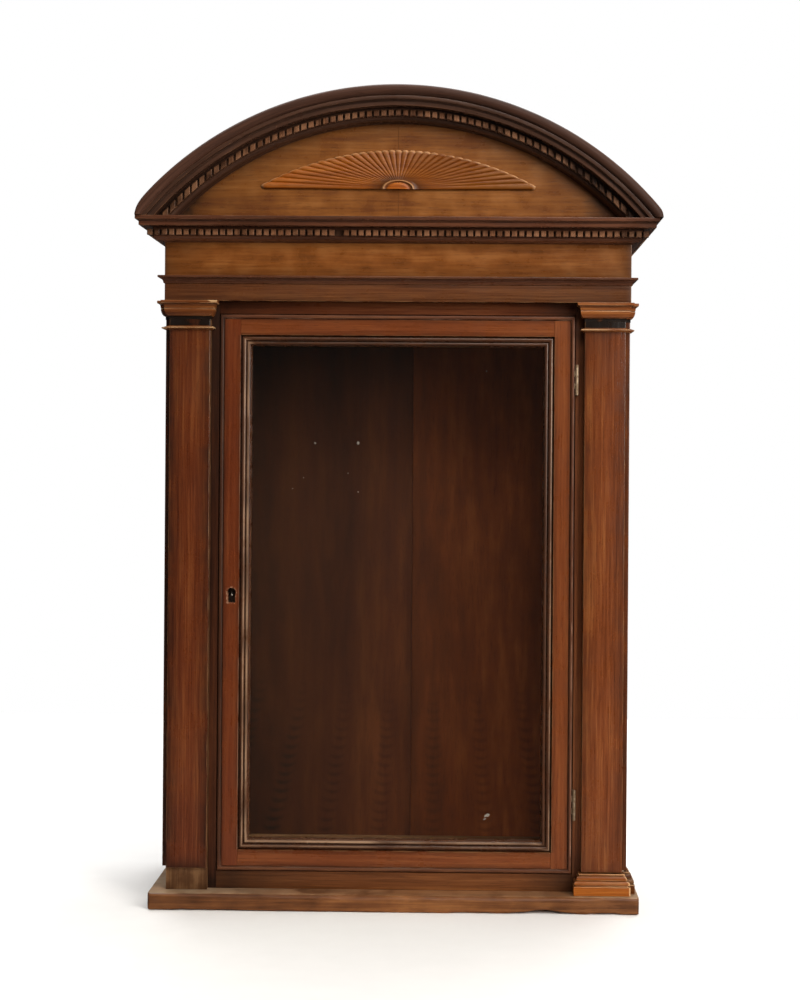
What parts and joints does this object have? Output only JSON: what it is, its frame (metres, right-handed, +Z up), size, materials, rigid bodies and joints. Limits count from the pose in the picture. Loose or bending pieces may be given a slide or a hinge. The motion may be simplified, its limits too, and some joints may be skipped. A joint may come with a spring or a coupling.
{
  "type": "display cabinet",
  "caption": "Glazed mahogany display cabinet with one hinged door between pilasters, a dentil cornice and an arched pediment with a carved fan.",
  "frame": {"origin": "middle of the bounding box, on the underside of the base board", "axes": "+X to the right as seen from the front, +Y to the back, +Z up; the door faces -Y"},
  "size_m": [0.653, 0.2434, 1.0205],
  "materials": {
    "red_mahogany": "old French polish, satin",
    "golden_mahogany": "old French polish, satin",
    "dark_mahogany": "dark stained and polished, dust in the hollows",
    "worn_mahogany": "polish rubbed thin at the edges",
    "carved_mahogany": "polished carving, bright on the high parts",
    "raw_pine": "unpolished, aged and dusty",
    "inside_mahogany": "thin stain, matt",
    "brass": "tarnished",
    "iron": "dull, oiled",
    "glass": "old clear sheet glass, slightly dusty"
  },
  "bodies": {
    "cabinet": {"arch_cornice": "dark_mahogany", "arch_crown": "dark_mahogany", "arch_dentils": "dark_mahogany", "architrave": "red_mahogany", "astragal_left": "worn_mahogany", "astragal_right": "worn_mahogany", "back_board_left": "inside_mahogany", "back_board_right": "inside_mahogany", "base_board": "worn_mahogany", "base_moulding_right": "carved_mahogany", "bottom_rail": "red_mahogany", "capital_left": "worn_mahogany", "capital_right": "worn_mahogany", "cornice_front": "dark_mahogany", "cornice_left": "dark_mahogany", "cornice_right": "dark_mahogany", "crown_left": "dark_mahogany", "crown_right": "dark_mahogany", "dentils_front": "dark_mahogany", "dentils_left": "dark_mahogany", "dentils_right": "dark_mahogany", "door_stop": "inside_mahogany", "fan_carving": "carved_mahogany", "floor_board": "inside_mahogany", "frieze": "golden_mahogany", "head_rail": "dark_mahogany", "hinge_bottom_pin": "brass", "hinge_bottom_post_leaf": "brass", "hinge_top_pin": "brass", "hinge_top_post_leaf": "brass", "pilaster_core_left": "raw_pine", "pilaster_core_right": "raw_pine", "pilaster_facing_left": "red_mahogany", "pilaster_facing_right": "red_mahogany", "post_left": "dark_mahogany", "post_right": "dark_mahogany", "seam_block": "raw_pine", "side_facing_left": "red_mahogany", "side_facing_right": "red_mahogany", "side_panel_left": "inside_mahogany", "side_panel_right": "inside_mahogany", "taenia_front": "dark_mahogany", "taenia_left": "dark_mahogany", "taenia_right": "dark_mahogany", "top_board": "raw_pine", "tympanum_left": "golden_mahogany", "tympanum_right": "golden_mahogany"},
    "door": {"door_cockbead": "red_mahogany", "door_rail_bottom": "red_mahogany", "door_rail_top": "red_mahogany", "door_stile_hinge": "red_mahogany", "door_stile_lock": "red_mahogany", "glass_pane": "glass", "glazing_bead": "inside_mahogany", "glazing_moulding": "dark_mahogany", "hinge_bottom_door_leaf": "brass", "hinge_top_door_leaf": "brass", "lock_case": "iron"},
    "bolt": {"lock_bolt": "brass"}
  },
  "joints": [
    {"name": "door_hinge", "type": "hinge", "parent": "cabinet", "child": "door", "pos_m": [0.2247, -0.07765, 0.3918], "axis": [0, 0, 1], "range_deg": [0, 100]},
    {"name": "bolt_slide", "type": "slide", "parent": "door", "child": "bolt", "axis": [-1, 0, 0], "range_m": [0, 0.006]}
  ]
}
